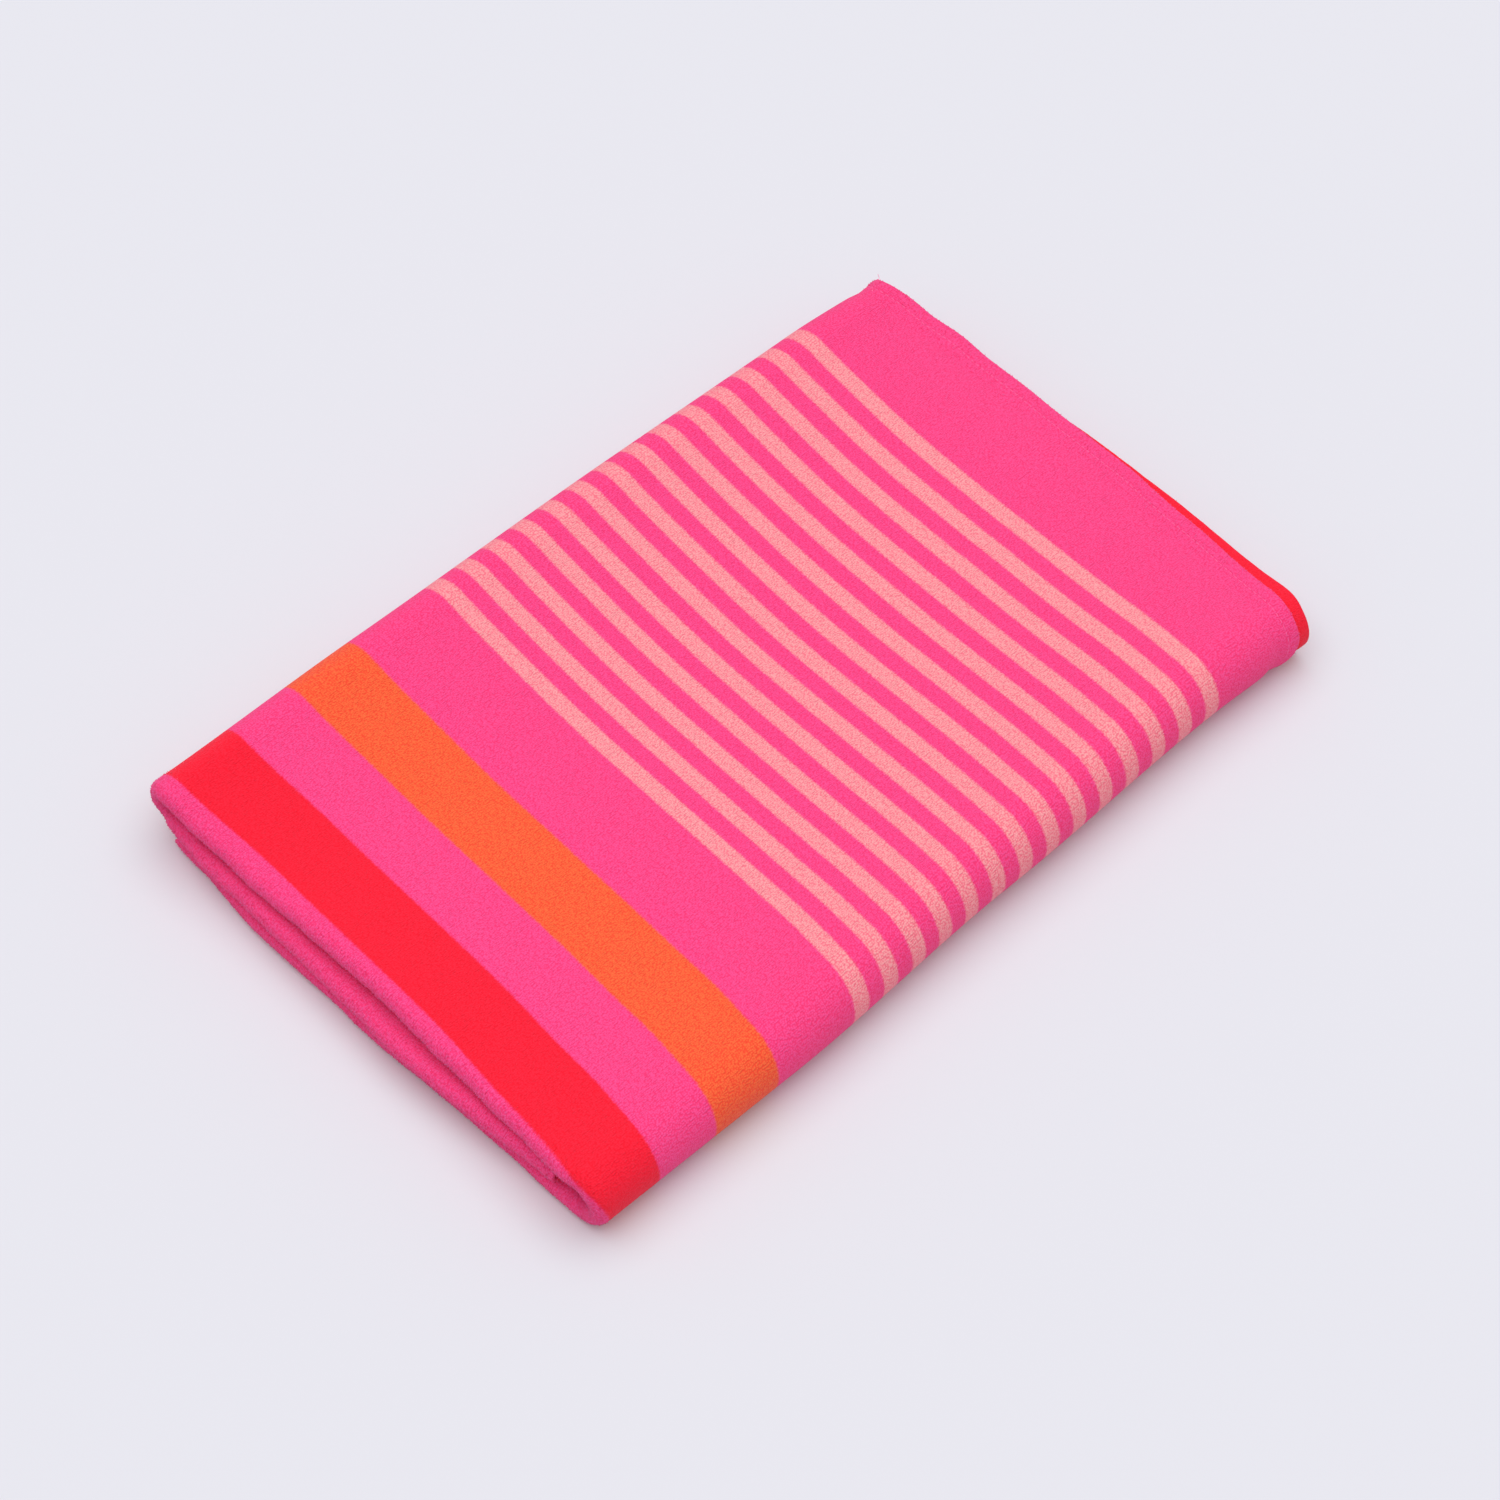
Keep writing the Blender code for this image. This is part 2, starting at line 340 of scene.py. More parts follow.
def lengthwise_stations(edge_steps):
    """Where the cloth is sampled from edge to edge: stretch, share of it, and place across."""
    flap = FOLD_MIDDLE_Y - INNER_FLAP_EDGE_Y
    bottom_flap = BOTTOM_FLAP_EDGE_Y - FOLD_MIDDLE_Y
    marks = [(STRETCHES[0]["name"], step / flap) for step in edge_steps]
    for stretch in STRETCHES:
        marks += [(stretch["name"], i / stretch["faces"]) for i in range(1, stretch["faces"] + 1)]
    marks.pop()
    marks += [(STRETCHES[-1]["name"], 1 - step / bottom_flap) for step in reversed(edge_steps)]
    places = [packet_point(stretch, share, 0.5)[0] for stretch, share in marks]
    across = [0.0]
    for before, after in zip(places, places[1:]):
        across.append(across[-1] + math.dist(before, after))
    top_middle = across[marks.index(("top_back", 1.0))]
    return [(*mark, value - top_middle) for mark, value in zip(marks, across)]


# ---------------------------------------------------------------- cloth mesh

LEVELS = [(1.5 - i) * LAYER_PITCH for i in range(LAYERS)]


def crosswise_points(edge_steps):
    """The cloth from the second layer's hem to the top hem.

    Each point is (end, share, x from that end, height in the packet): a point hangs between
    the rims and an end by its share, and x is its own offset beside that.
    """
    points = []

    def run(end, shares, level):
        for share in shares:
            points.append((end, share, 0.0, level))

    def turn(end, share, offset, first_level, last_level, side, faces):
        middle = (first_level + last_level) / 2
        radius = (first_level - last_level) / 2
        for i in range(1, faces):
            angle = math.pi * i / faces
            bulge = side * abs(radius) * math.sin(angle)
            points.append((end, share, offset + bulge, middle + radius * math.cos(angle)))

    near_hem = [edge / FLAT_RUN for edge in edge_steps]
    near_hem += [step * MM / FLAT_RUN for step in NEAR_HEM]
    near_rim = [step * MM / FLAT_RUN for step in NEAR_RIM]
    start, stop = near_rim[-1], 1 - near_hem[-1]
    fine = [start + (stop - start) * i / FINE_FACES for i in range(1, FINE_FACES)]
    middle_fold = 1 - MIDDLE_FOLD_INSET / FLAT_RUN
    run("second", [1 - share for share in near_hem], LEVELS[1])
    run("second", list(reversed(COARSE)), LEVELS[1])
    run("second", list(reversed(near_rim)), LEVELS[1])
    turn("second", 0.0, 0.0, LEVELS[1], LEVELS[2], -1, 8)
    run("second", near_rim + COARSE + [BEFORE_MIDDLE_FOLD, middle_fold], LEVELS[2])
    turn("second", middle_fold, 0.0, LEVELS[2], LEVELS[3], 1, 8)
    run("second", [middle_fold, BEFORE_MIDDLE_FOLD] + list(reversed(COARSE)), LEVELS[3])
    run("hem", list(reversed(near_rim)), LEVELS[3])
    turn("hem", 0.0, 0.0, LEVELS[3], LEVELS[0], -1, 16)
    run("hem", near_rim + fine, LEVELS[0])
    run("hem", [1 - share for share in reversed(near_hem)], LEVELS[0])
    return points


def edge_roundness(distance, half):
    """Share of the full thickness at a distance in from an edge with a round section."""
    if distance >= half:
        return 1.0
    inward = 1 - distance / half
    return max(math.sqrt(1 - inward * inward), THIN_EDGE)


def bump(distance, centre, width):
    """A soft ridge of height one."""
    return math.exp(-(((distance - centre) / width) ** 2))


def end_wave(across, level, ripple):
    """A small unevenness of the rims and hems, different in each layer."""
    slow = noise.noise(Vector((across * 38, level * 900, 0.3)))
    quick = noise.noise(Vector((across * 150, level * 900, 5.3)))
    return (0.7 * slow + ripple * quick) * MM


def top_swell(stretch, share, x):
    """A slow unevenness of the top panel, none at its folds."""
    if stretch not in ("top_back", "top_front"):
        return 0.0
    from_fold = share if stretch == "top_back" else 1 - share
    return 0.9 * MM * smooth_rise(from_fold, 0.0, 0.35) * noise.noise(Vector((x * 11, share * 2.1, 4.0)))


def hem_relief(from_hem, across, depth):
    """Height of the turned hem, its stitched groove and the soft trough beside it."""
    trough = 0.8 + 0.5 * noise.noise(Vector((across * 16, 3.0, 0.5)))
    height = HEM_ROLL[0] * bump(from_hem, HEM_ROLL[1], HEM_ROLL[2])
    height -= GROOVE_DEPTH * bump(from_hem, depth, GROOVE_WIDTH)
    return height - TROUGH[0] * trough * bump(from_hem, TROUGH[1], TROUGH[2])


def loose_end(x, across):
    """How far the second layer's hem hangs out where it shows under the front fold."""
    at_fold = smooth_rise(across, *LOOSE_FROM) * (1 - smooth_rise(across, *LOOSE_TO))
    return LOOSE_HEM * at_fold * smooth_rise(x, HEM_X - 15 * MM, HEM_X - 7 * MM)


def cloth_grid(cloth):
    """Middle surface and half thickness of every point of the folded cloth."""
    half = cloth.thickness / 2
    edge_steps = edge_steps_of(cloth)
    stations = lengthwise_stations(edge_steps)
    columns = crosswise_points(edge_steps)
    middle = np.zeros((len(columns), len(stations), 3))
    thick = np.full((len(columns), len(stations)), half)
    for row, (stretch, share, across) in enumerate(stations):
        slides = between_rows(END_LINES, "across", across / MM)
        edge_lean = 0.6 * share if stretch == "bottom_flap_edge" else 0.0
        for column, (end, reach, offset, level) in enumerate(columns):
            x = RIM_X + PACKET_HALF + reach * FLAT_RUN + offset
            rims = slides["rims"] + end_wave(across, 0.0, 0.5)
            far = slides[end] + end_wave(across, level + MM, 0.15)
            x += rims + (far - rims) * max(reach, 0.0)
            along = (x - RIM_X) / STACK_LENGTH
            (y, z), normal = packet_point(stretch, share, along)
            height = level + top_swell(stretch, share, x)
            if end == "hem" and level > 0:
                height += hem_relief((1 - reach) * FLAT_RUN, across, cloth.hem_depth)
            if end == "second" and level == LEVELS[1]:
                height += loose_end(x, across)
            y += edge_lean * level + normal[0] * height
            middle[column, row] = (x, BACK_EDGE_Y + y, z + normal[1] * height)
    last = len(columns) - 1
    for step, inset in enumerate(edge_steps):
        roundness = edge_roundness(inset, half)
        thick[step, :] *= roundness
        thick[last - step, :] *= roundness
        thick[:, step] *= roundness
        thick[:, len(stations) - 1 - step] *= roundness
    return middle, thick


def surface_normals(middle):
    """Normals of the middle surface, out of the packet."""
    across = np.gradient(middle, axis=1)
    along = np.gradient(middle, axis=0)
    normals = np.cross(across, along)
    return normals / np.linalg.norm(normals, axis=2, keepdims=True)


def smooth_rise(value, start, stop):
    """Zero before a start and one after a stop, with a smooth change."""
    share = np.clip((value - start) / (stop - start), 0.0, 1.0)
    return share * share * (3 - 2 * share)


def print_wander(from_hem, across):
    """How far the print has been pulled towards the rims by the folding."""
    near_rims = (np.clip(from_hem, 0.0, STACK_LENGTH) / RIMS_FROM_HEM) ** 5
    past_stripes = smooth_rise(from_hem, 0.250, 0.305)
    front = (FRONT_PULL + PAST_STRIPES_PULL * past_stripes) * MM * smooth_rise(across, 0.080, 0.160)
    front = front + FRONT_RIM_PULL * MM * near_rims * smooth_rise(across, 0.025, 0.085)
    back = BACK_RIM_PULL * MM * near_rims * smooth_rise(-across, 0.070, 0.140)
    along_stripes = np.clip((from_hem - 0.060) / 0.225, 0.0, 1.0)
    last_band = np.clip(from_hem / RIMS_FROM_HEM, 0.0, 1.0) ** 30
    under = UNDER_FOLD_PULL * MM * last_band * smooth_rise(across, 0.118, 0.150)
    return front + back - under + MIDDLE_PULL * MM * np.sin(np.pi * along_stripes)


def print_places(middle, across):
    """Distance from the top hem's line, place across the cloth, and distance from the far hem."""
    steps_along = np.linalg.norm(np.diff(middle, axis=0), axis=2)
    from_far = np.vstack([np.zeros(middle.shape[1]), np.cumsum(steps_along, axis=0)])
    from_hem = from_far[-1] - from_far + (HEM_X - middle[-1, :, 0])
    across = np.broadcast_to(np.array(across), from_hem.shape)
    return np.stack([from_hem - print_wander(from_hem, across), across, from_far], axis=2)


def grid_faces(columns, rows):
    """Quads of the two faces of the sheet and of its four edges, all facing out."""
    index = np.arange(columns * rows).reshape(columns, rows)
    under = index + columns * rows
    a, b, c, d = index[:-1, :-1], index[:-1, 1:], index[1:, 1:], index[1:, :-1]
    faces = [np.stack([a, b, c, d], axis=-1).reshape(-1, 4)]
    a, b, c, d = under[:-1, :-1], under[:-1, 1:], under[1:, 1:], under[1:, :-1]
    faces.append(np.stack([d, c, b, a], axis=-1).reshape(-1, 4))
    borders = [
        (index[0, :], under[0, :], 1),
        (index[-1, :], under[-1, :], -1),
        (index[:, 0], under[:, 0], -1),
        (index[:, -1], under[:, -1], 1),
    ]
    for top, bottom, way in borders:
        quads = np.stack([top[1:], top[:-1], bottom[:-1], bottom[1:]], axis=-1)
        faces.append(quads if way > 0 else quads[:, ::-1])
    return np.concatenate(faces)


def add_object(name, data):
    """A new object in the scene."""
    item = bpy.data.objects.new(name, data)
    bpy.context.scene.collection.objects.link(item)
    return item


def add_mesh_object(name, vertices, faces):
    """A smooth mesh object in the scene."""
    mesh = bpy.data.meshes.new(name)
    mesh.from_pydata([tuple(v) for v in vertices], [], [tuple(int(i) for i in face) for face in faces])
    mesh.validate()
    mesh.shade_smooth()
    return add_object(name, mesh)


def folded_surfaces(cloth):
    """Outer and inner faces of the folded cloth, and the place of the print on it."""
    middle, thick = cloth_grid(cloth)
    normals = surface_normals(middle)
    outer = middle + normals * thick[:, :, None]
    inner = middle - normals * thick[:, :, None]
    lowest = min(outer[:, :, 2].min(), inner[:, :, 2].min())
    for side in (outer, inner):
        side[:, :, 2] -= lowest
    across = [station[2] for station in lengthwise_stations(edge_steps_of(cloth))]
    return outer, inner, print_places(middle, across)


def pile_amount(outer):
    """How much of the pile stands up: fully on the rims, less on the hems, none on flat cloth."""
    x = outer[:, :, 0]
    rims = smooth_rise(-x, -(RIM_X + 7 * MM), -(RIM_X + 2 * MM))
    hems = 0.5 * smooth_rise(x, HEM_X - 16 * MM, HEM_X - 9 * MM)
    above_floor = smooth_rise(outer[:, :, 2], 0.8 * MM, 2 * MM)
    return np.maximum(rims, hems) * above_floor


def openness_and_painted_shade(outer):
    """How far the pile opens into loops and is darkened with painted shade: fully round the folds and rims,
    not on flat cloth.
    """
    rims = smooth_rise(-outer[:, :, 0], -(RIM_X + 12 * MM), -(RIM_X + 4 * MM))
    folds = smooth_rise(np.abs(outer[:, :, 1] + 1 * MM), 110 * MM, 138 * MM)
    return np.maximum(rims, folds)


def store_values(mesh, name, kind, key, values):
    """Stores one value for each vertex."""
    layer = mesh.attributes.new(name, kind, "POINT")
    layer.data.foreach_set(key, values.astype(np.float32).ravel())


def make_cloth(cloth):
    """The folded sheet with round edges and the place of its print."""
    outer, inner, places = folded_surfaces(cloth)
    columns, rows = outer.shape[:2]
    vertices = np.concatenate([outer.reshape(-1, 3), inner.reshape(-1, 3)])
    piece = add_mesh_object("folded_cloth", vertices, grid_faces(columns, rows))
    both = np.concatenate([places.reshape(-1, 3)] * 2)
    store_values(piece.data, "cloth_place", "FLOAT_VECTOR", "vector", both)
    standing = np.concatenate([pile_amount(outer).ravel(), np.zeros(columns * rows)])
    store_values(piece.data, "pile_amount", "FLOAT", "value", standing)
    # Painted shade: this attribute also darkens the pile round the folds and rims.
    opened_and_shaded = np.concatenate([openness_and_painted_shade(outer).ravel(), openness_and_painted_shade(inner).ravel()])
    store_values(piece.data, "openness_and_painted_shade", "FLOAT", "value", opened_and_shaded)
    loops = np.empty(len(piece.data.loops), dtype=np.int32)
    piece.data.loops.foreach_get("vertex_index", loops)
    layer = piece.data.uv_layers.new(name="flat")
    layer.data.foreach_set("uv", both[loops][:, :2].astype(np.float32).ravel())
    return piece


# ---------------------------------------------------------------- materials


def group_socket(tree, name, kind, way, default=None):
    """Adds a named socket to a node group."""
    socket = tree.interface.new_socket(name=name, in_out=way, socket_type=kind)
    if default is not None:
        socket.default_value = default


def put(tree, value, socket):
    """Feeds a socket from another node's socket or a plain value."""
    if isinstance(value, bpy.types.NodeSocket):
        tree.links.new(value, socket)
    else:
        socket.default_value = value


def maths(tree, operation, *values):
    """A Math node and its result."""
    node = tree.nodes.new("ShaderNodeMath")
    node.operation = operation
    for value, socket in zip(values, node.inputs):
        put(tree, value, socket)
    return node.outputs[0]


def soft_step(tree, value, place, softness):
    """Zero before a place and one after it, with a soft change."""
    node = tree.nodes.new("ShaderNodeMapRange")
    node.interpolation_type = "SMOOTHSTEP"
    put(tree, value, node.inputs["Value"])
    put(tree, maths(tree, "SUBTRACT", place, softness), node.inputs["From Min"])
    put(tree, maths(tree, "ADD", place, softness), node.inputs["From Max"])
    return node.outputs["Result"]


def band(tree, value, start, width, softness):
    """One inside a band and zero outside it."""
    stop = maths(tree, "ADD", start, width)
    rise = soft_step(tree, value, start, softness)
    fall = soft_step(tree, value, stop, softness)
    return maths(tree, "SUBTRACT", rise, fall)


def mix_colour(tree, share, first, second, blend="MIX"):
    """A Mix node for colours and its result."""
    node = tree.nodes.new("ShaderNodeMix")
    node.data_type = "RGBA"
    node.blend_type = blend
    put(tree, share, node.inputs["Factor"])
    put(tree, first, node.inputs["A"])
    put(tree, second, node.inputs["B"])
    return node.outputs["Result"]


def fine_noise(tree, vector, scale, detail, roughness=0.5):
    """A noise texture and its value."""
    node = tree.nodes.new("ShaderNodeTexNoise")
    put(tree, vector, node.inputs["Vector"])
    node.inputs["Scale"].default_value = scale
    node.inputs["Detail"].default_value = detail
    node.inputs["Roughness"].default_value = roughness
    return node.outputs["Fac"]


def stretched(tree, vector, factors):
    """A vector scaled by three factors."""
    node = tree.nodes.new("ShaderNodeVectorMath")
    node.operation = "MULTIPLY"
    put(tree, vector, node.inputs[0])
    node.inputs[1].default_value = factors
    return node.outputs["Vector"]


def stripe_print_group():
    """The printed stripes, by distance from the hem."""
    tree = bpy.data.node_groups.new("striped_print", "ShaderNodeTree")
    colours = ("Ground", "Red", "Orange", "Salmon")
    sizes = ("Plain End", "Stripe", "Stripe Pitch", "Stripes", "After Stripes", "Orange Width",
             "Between Bands", "Red Width", "Softness")
    group_socket(tree, "Place", "NodeSocketVector", "INPUT")
    for name in colours:
        group_socket(tree, name, "NodeSocketColor", "INPUT")
    for name in sizes:
        group_socket(tree, name, "NodeSocketFloat", "INPUT", 0.0)
    group_socket(tree, "Color", "NodeSocketColor", "OUTPUT")
    source = tree.nodes.new("NodeGroupInput").outputs
    target = tree.nodes.new("NodeGroupOutput")
    split = tree.nodes.new("ShaderNodeSeparateXYZ")
    tree.links.new(source["Place"], split.inputs[0])
    soft = source["Softness"]
    ragged = fine_noise(tree, source["Place"], 900.0, 2.0)
    ragged = maths(tree, "MULTIPLY", maths(tree, "SUBTRACT", ragged, 0.5), 1.6 * MM)
    place = maths(tree, "ADD", split.outputs["X"], ragged)
    into_stripes = maths(tree, "SUBTRACT", place, source["Plain End"])
    half_stripe = maths(tree, "MULTIPLY", source["Stripe"], 0.5)
    half_pitch = maths(tree, "MULTIPLY", source["Stripe Pitch"], 0.5)
    centred = maths(tree, "SUBTRACT", into_stripes, half_stripe)
    wrapped = maths(tree, "WRAP", centred, half_pitch, maths(tree, "MULTIPLY", half_pitch, -1.0))
    off_centre = maths(tree, "ABSOLUTE", wrapped)
    in_stripe = maths(tree, "SUBTRACT", 1.0, soft_step(tree, off_centre, half_stripe, soft))
    last_stripe = maths(tree, "SUBTRACT", source["Stripes"], 1.0)
    last_start = maths(tree, "MULTIPLY", last_stripe, source["Stripe Pitch"])
    all_stripes = maths(tree, "ADD", last_start, source["Stripe"])
    margin = maths(tree, "SUBTRACT", half_pitch, half_stripe)
    region = band(tree, into_stripes, maths(tree, "MULTIPLY", margin, -1.0),
                  maths(tree, "ADD", all_stripes, maths(tree, "MULTIPLY", margin, 2.0)), 0.1 * MM)
    salmon = maths(tree, "MULTIPLY", in_stripe, region)
    orange_start = maths(tree, "ADD", all_stripes, source["After Stripes"])
    orange = band(tree, into_stripes, orange_start, source["Orange Width"], soft)
    orange_end = maths(tree, "ADD", orange_start, source["Orange Width"])
    red_start = maths(tree, "ADD", orange_end, source["Between Bands"])
    red = band(tree, into_stripes, red_start, source["Red Width"], soft)
    far_red = maths(tree, "SUBTRACT", 1.0, soft_step(tree, split.outputs["Z"], source["Red Width"], soft))
    colour = mix_colour(tree, salmon, source["Ground"], source["Salmon"])
    colour = mix_colour(tree, orange, colour, source["Orange"])
    colour = mix_colour(tree, maths(tree, "MAXIMUM", red, far_red), colour, source["Red"])
    tree.links.new(colour, target.inputs["Color"])
    return tree


def terry_pile_group():
    """Shade and relief of sheared pile; it opens into loops where the cloth bends, and there it is darkened
    with painted shade.
    """
    tree = bpy.data.node_groups.new("terry_pile", "ShaderNodeTree")
    group_socket(tree, "Place", "NodeSocketVector", "INPUT")
    group_socket(tree, "Openness And Painted Shade", "NodeSocketFloat", "INPUT", 0.0)
    group_socket(tree, "Shade", "NodeSocketFloat", "OUTPUT")
    group_socket(tree, "Height", "NodeSocketFloat", "OUTPUT")
    source = tree.nodes.new("NodeGroupInput").outputs
    target = tree.nodes.new("NodeGroupOutput")
    rows = fine_noise(tree, stretched(tree, source["Place"], ROW_SCALE), 1.0, 1.0, 0.5)
    patches = fine_noise(tree, stretched(tree, source["Place"], PATCH_SCALE), 1.0, 3.0, 0.6)
    loops = tree.nodes.new("ShaderNodeTexVoronoi")
    loops.voronoi_dimensions = "2D"
    loops.feature = "F1"
    loops.inputs["Scale"].default_value = 1.0
    loops.inputs["Randomness"].default_value = 0.75
    spread = stretched(tree, source["Place"], LOOP_SCALE)
    tree.links.new(spread, loops.inputs["Vector"])
    round_tops = maths(tree, "SUBTRACT", 1.0, loops.outputs["Distance"])
    row_part = maths(tree, "MULTIPLY", rows, 0.55)
    height = maths(tree, "ADD", row_part, maths(tree, "MULTIPLY", round_tops, 0.45))
    grain = maths(tree, "SUBTRACT", height, 0.56)
    strength = maths(tree, "ADD", maths(tree, "MULTIPLY", source["Openness And Painted Shade"], 0.5), 1.9)
    shade = maths(tree, "ADD", maths(tree, "MULTIPLY", grain, strength), 0.5)
    # Painted shade: where the pile opens, round the folds and rims, its shade is lowered.
    shade = maths(tree, "SUBTRACT", shade, maths(tree, "MULTIPLY", source["Openness And Painted Shade"], 0.05))
    shade = maths(tree, "ADD", shade, maths(tree, "MULTIPLY", maths(tree, "SUBTRACT", patches, 0.5), 0.12))
    tree.links.new(shade, target.inputs["Shade"])
    tree.links.new(height, target.inputs["Height"])
    return tree


def place_group(material, group, place):
    """A group node in a material, fed with the place on the cloth."""
    node = material.node_tree.nodes.new("ShaderNodeGroup")
    node.node_tree = group
    material.node_tree.links.new(place, node.inputs["Place"])
    return node


def printed_terry(name, printed, sheen, shadow_tint, light_tint):
    """Cotton pile, printed with the towel's stripes, between two tints of the print."""
    material = bpy.data.materials.new(name)
    material.use_nodes = True
    tree = material.node_tree
    shader = tree.nodes["Principled BSDF"]
    attribute = tree.nodes.new("ShaderNodeAttribute")
    attribute.attribute_name = "cloth_place"
    place = attribute.outputs["Vector"]
    stripes = place_group(material, bpy.data.node_groups["striped_print"], place)
    for socket, value in (
        ("Ground", printed.pink), ("Red", printed.red),
        ("Orange", printed.orange), ("Salmon", printed.salmon),
        ("Plain End", printed.plain_end), ("Stripe", printed.stripe), ("Stripe Pitch", printed.stripe_pitch),
        ("Stripes", float(printed.stripes)), ("After Stripes", printed.after_stripes),
        ("Orange Width", printed.orange_width), ("Between Bands", printed.between_bands),
        ("Red Width", printed.red_width), ("Softness", PRINT_SOFTNESS),
    ):
        stripes.inputs[socket].default_value = value
    pile = place_group(material, bpy.data.node_groups["terry_pile"], place)
    # This attribute also darkens the pile round the folds and rims: painted shade.
    opened_and_shaded = tree.nodes.new("ShaderNodeAttribute")
    opened_and_shaded.attribute_name = "openness_and_painted_shade"
    tree.links.new(opened_and_shaded.outputs["Fac"], pile.inputs["Openness And Painted Shade"])
    shade = tree.nodes.new("ShaderNodeMapRange")
    shade.inputs["From Min"].default_value = 0.2
    shade.inputs["From Max"].default_value = 0.7
    tree.links.new(pile.outputs["Shade"], shade.inputs["Value"])
    tint = mix_colour(tree, shade.outputs["Result"], shadow_tint, light_tint)
    colour = mix_colour(tree, 1.0, stripes.outputs["Color"], tint, "MULTIPLY")
    tree.links.new(colour, shader.inputs["Base Color"])
    relief = tree.nodes.new("ShaderNodeBump")
    relief.inputs["Strength"].default_value = 0.9
    relief.inputs["Distance"].default_value = PILE_RELIEF
    tree.links.new(pile.outputs["Height"], relief.inputs["Height"])
    tree.links.new(relief.outputs["Normal"], shader.inputs["Normal"])
    shader.inputs["Roughness"].default_value = 0.95
    shader.inputs["Specular IOR Level"].default_value = 0.15
    shader.inputs["Sheen Weight"].default_value = sheen
    shader.inputs["Sheen Roughness"].default_value = 0.5
    shader.inputs["Sheen Tint"].default_value = (1.0, 0.6, 0.85, 1.0)
    return material


# ---------------------------------------------------------------- stitches and pile


def geometry_tree(name, inputs):
    """A Geometry Nodes tree with named inputs: its tree, input sockets and output node."""
    tree = bpy.data.node_groups.new(name, "GeometryNodeTree")
    group_socket(tree, "Geometry", "NodeSocketGeometry", "INPUT")
    for label, kind, default in inputs:
        group_socket(tree, label, kind, "INPUT", default)
    group_socket(tree, "Geometry", "NodeSocketGeometry", "OUTPUT")
    source = tree.nodes.new("NodeGroupInput")
    target = tree.nodes.new("NodeGroupOutput")
    return tree, source.outputs, target


def finish_tree(tree, instances, material, target):
    """Realizes the instances and gives them their material."""
    real = tree.nodes.new("GeometryNodeRealizeInstances")
    finish = tree.nodes.new("GeometryNodeSetMaterial")
    tree.links.new(instances, real.inputs["Geometry"])
    tree.links.new(real.outputs["Geometry"], finish.inputs["Geometry"])
    tree.links.new(material, finish.inputs["Material"])
    tree.links.new(finish.outputs["Geometry"], target.inputs["Geometry"])


def node_value(tree, kind, settings, links):
    """A node with its plain values set and its inputs linked."""
    node = tree.nodes.new(kind)
    for name, value in settings.items():
        setattr(node, name, value)
    for name, value in links.items():
        put(tree, value, node.inputs[name])
    return node


def stitch_tree():
    """A row of stitches along a path."""
    tree, source, target = geometry_tree("hem_stitches", (
        ("Pitch", "NodeSocketFloat", 3.0 * MM),
        ("Stitch", "NodeSocketFloat", 2.2 * MM),
        ("Thread", "NodeSocketFloat", 0.45 * MM),
        ("Material", "NodeSocketMaterial", None),
    ))
    path = node_value(tree, "GeometryNodeMeshToCurve", {}, {"Mesh": source["Geometry"]})
    points = node_value(tree, "GeometryNodeCurveToPoints", {"mode": "LENGTH"},
                        {"Curve": path.outputs["Curve"], "Length": source["Pitch"]})
    bead = node_value(tree, "GeometryNodeMeshUVSphere", {}, {"Segments": 6, "Rings": 5, "Radius": 0.5})
    smooth = node_value(tree, "GeometryNodeSetShadeSmooth", {}, {"Geometry": bead.outputs["Mesh"]})
    size = node_value(tree, "ShaderNodeCombineXYZ", {},
                      {"X": source["Thread"], "Y": source["Thread"], "Z": source["Stitch"]})
    copies = node_value(tree, "GeometryNodeInstanceOnPoints", {}, {
        "Points": points.outputs["Points"], "Instance": smooth.outputs["Geometry"],
        "Rotation": points.outputs["Rotation"], "Scale": size.outputs["Vector"],
    })
    finish_tree(tree, copies.outputs["Instances"], source["Material"], target)
    return tree


def loose_thread(start, radius):
    """A short end of thread standing out of the hem's back corner."""
    curve = bpy.data.curves.new("loose_thread", "CURVE")
    curve.dimensions = "3D"
    curve.bevel_depth = radius
    curve.bevel_resolution = 1
    curve.resolution_u = 4
    strand = curve.splines.new("BEZIER")
    strand.bezier_points.add(len(THREAD_BENDS) - 1)
    for point, bend in zip(strand.bezier_points, THREAD_BENDS):
        point.co = start + Vector(bend) * MM
        point.handle_left_type = "AUTO"
        point.handle_right_type = "AUTO"
    guide = add_object("loose_thread", curve)
    graph = bpy.context.evaluated_depsgraph_get()
    mesh = bpy.data.meshes.new_from_object(guide.evaluated_get(graph))
    mesh.name = "loose_thread"
    mesh.materials.clear()
    mesh.materials.append(bpy.data.materials["pink_thread"])
    bpy.data.objects.remove(guide, do_unlink=True)
    return add_object("loose_thread", mesh)


